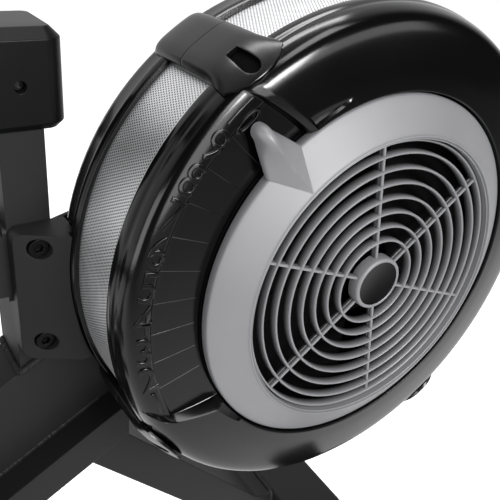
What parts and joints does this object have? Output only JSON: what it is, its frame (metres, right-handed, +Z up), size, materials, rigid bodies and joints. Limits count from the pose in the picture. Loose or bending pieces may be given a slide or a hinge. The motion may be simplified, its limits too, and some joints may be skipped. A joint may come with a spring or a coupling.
{
  "type": "rowing machine",
  "caption": "Air rowing machine: fan drum with a damper lever, strap-drive handle, sliding seat on a rail, footrests and a tilting monitor.",
  "frame": {"origin": "on the floor, under the middle of the machine's box", "axes": "+X forward, away from the rower, +Y to the rower's left, +Z up"},
  "size_m": [2.302, 0.6, 1.0175],
  "materials": {
    "frame_steel": "satin black powder coat",
    "gloss_black": "glossy moulded black",
    "moulded_black": "fine-textured moulded black",
    "silver": "satin silver paint on moulded plastic",
    "mesh_metal": "perforated bare sheet",
    "bright_steel": "ground steel",
    "webbing": "woven nylon webbing",
    "rubber": "matt rubber",
    "roller_plastic": "cast polyurethane",
    "rail_aluminium": "anodised",
    "bar_paint": "satin black",
    "seat_vinyl": "grained vinyl over foam",
    "screen_glass": "dark display window"
  },
  "bodies": {
    "frame": {"arm_plate_left": "frame_steel", "arm_plate_right": "frame_steel", "axle_bearings": "bright_steel", "cover_braces": "moulded_black", "damper_grille": "silver", "drive_cover": "moulded_black", "drive_strap": "webbing", "far_cover": "gloss_black", "foot_caps": "rubber", "foot_frame": "frame_steel", "foot_plate_left": "moulded_black", "foot_plate_right": "moulded_black", "foot_strap_left": "webbing", "foot_strap_right": "webbing", "front_foot": "frame_steel", "front_leg": "frame_steel", "guide_pin": "bright_steel", "handle_rest": "frame_steel", "hub_badge": "gloss_black", "inlet_plate": "moulded_black", "lower_beam": "frame_steel", "main_beam": "frame_steel", "mesh_band": "mesh_metal", "near_cover": "gloss_black", "neck_bolts": "bright_steel", "neck_bracket": "frame_steel", "post": "frame_steel", "post_cap": "moulded_black", "rail": "rail_aluminium", "rail_stops": "rubber", "rear_foot": "frame_steel", "rear_leg": "frame_steel", "recoil_spring": "bright_steel", "recoil_spring_case": "moulded_black", "wheel_forks": "frame_steel"},
    "fan": {"fan_shaft": "bright_steel", "fan_wheel": "moulded_black"},
    "damper": {"damper_ring": "silver", "damper_shutter": "moulded_black"},
    "spool": {"strap_spool": "moulded_black", "wound_strap": "webbing", "one_way_clutch": "bright_steel"},
    "guide": {"guide_roller": "moulded_black"},
    "handle": {"handle_bar": "bar_paint", "handle_grips": "rubber"},
    "seat": {"seat_carriage": "frame_steel", "seat_pad": "seat_vinyl"},
    "rollers_front": {"seat_rollers_front": "roller_plastic"},
    "rollers_rear": {"seat_rollers_rear": "roller_plastic"},
    "heel_left": {"heel_cup_left": "moulded_black"},
    "heel_right": {"heel_cup_right": "moulded_black"},
    "wheel_left": {"transport_wheel_left": "rubber"},
    "wheel_right": {"transport_wheel_right": "rubber"},
    "monitor_arm": {"monitor_arm": "moulded_black"},
    "monitor": {"monitor_case": "moulded_black", "monitor_screen": "screen_glass"},
    "button_1": {"monitor_button_1": "moulded_black"},
    "button_2": {"monitor_button_2": "moulded_black"},
    "button_3": {"monitor_button_3": "moulded_black"}
  },
  "joints": [
    {"name": "fan_spin", "type": "hinge", "parent": "frame", "child": "fan", "pos_m": [0.895, -0.1, 0.53], "axis": [0, 1, 0], "continuous": true},
    {"name": "damper_turn", "type": "hinge", "parent": "frame", "child": "damper", "pos_m": [0.895, -0.2, 0.53], "axis": [0, 1, 0], "range_deg": [-67.3, 0]},
    {"name": "handle_pull", "type": "slide", "parent": "frame", "child": "handle", "axis": [-1, 0, 0], "range_m": [0, 1.2], "deforming": ["drive_strap"]},
    {"name": "spool_turn", "type": "hinge", "parent": "frame", "child": "spool", "pos_m": [0.895, 0, 0.53], "axis": [0, 1, 0], "range_deg": [-1500, 0]},
    {"name": "guide_turn", "type": "hinge", "parent": "frame", "child": "guide", "pos_m": [0.6165, 0, 0.5433], "axis": [0, 1, 0], "range_deg": [0, 5200]},
    {"name": "seat_slide", "type": "slide", "parent": "frame", "child": "seat", "axis": [1, 0, 0], "range_m": [-0.82, 0.28]},
    {"name": "roller_turn_front", "type": "hinge", "parent": "seat", "child": "rollers_front", "pos_m": [-0.085, 0, 0.3463], "axis": [0, 1, 0], "range_deg": [-2450, 840]},
    {"name": "roller_turn_rear", "type": "hinge", "parent": "seat", "child": "rollers_rear", "pos_m": [-0.215, 0, 0.3463], "axis": [0, 1, 0], "range_deg": [-2450, 840]},
    {"name": "heel_slide_left", "type": "slide", "parent": "frame", "child": "heel_left", "axis": [0.7071, 0, 0.7071], "range_m": [-0.02, 0.05]},
    {"name": "heel_slide_right", "type": "slide", "parent": "frame", "child": "heel_right", "axis": [0.7071, 0, 0.7071], "range_m": [-0.02, 0.05]},
    {"name": "wheel_spin_left", "type": "hinge", "parent": "frame", "child": "wheel_left", "pos_m": [1.066, 0.18, 0.042], "axis": [0, 1, 0], "continuous": true},
    {"name": "wheel_spin_right", "type": "hinge", "parent": "frame", "child": "wheel_right", "pos_m": [1.066, -0.18, 0.042], "axis": [0, 1, 0], "continuous": true},
    {"name": "monitor_arm_swing", "type": "hinge", "parent": "frame", "child": "monitor_arm", "pos_m": [0.5555, 0, 0.7025], "axis": [0, 1, 0], "range_deg": [-40, 25]},
    {"name": "monitor_tilt", "type": "hinge", "parent": "monitor_arm", "child": "monitor", "pos_m": [0.5155, 0, 0.9475], "axis": [0, 1, 0], "range_deg": [-10, 30]},
    {"name": "button_press_1", "type": "slide", "parent": "monitor", "child": "button_1", "axis": [1, 0, 0], "range_m": [0, 0.0012], "stiffness_N_per_m": 600},
    {"name": "button_press_2", "type": "slide", "parent": "monitor", "child": "button_2", "axis": [1, 0, 0], "range_m": [0, 0.0012], "stiffness_N_per_m": 600},
    {"name": "button_press_3", "type": "slide", "parent": "monitor", "child": "button_3", "axis": [1, 0, 0], "range_m": [0, 0.0012], "stiffness_N_per_m": 600}
  ],
  "couplings": [
    {"joint": "spool_turn", "follows": "handle_pull", "rad_per_m": -21.598},
    {"joint": "guide_turn", "follows": "handle_pull", "rad_per_m": 75.188},
    {"joint": "roller_turn_front", "follows": "seat_slide", "rad_per_m": 51.813},
    {"joint": "roller_turn_rear", "follows": "seat_slide", "rad_per_m": 51.813}
  ]
}
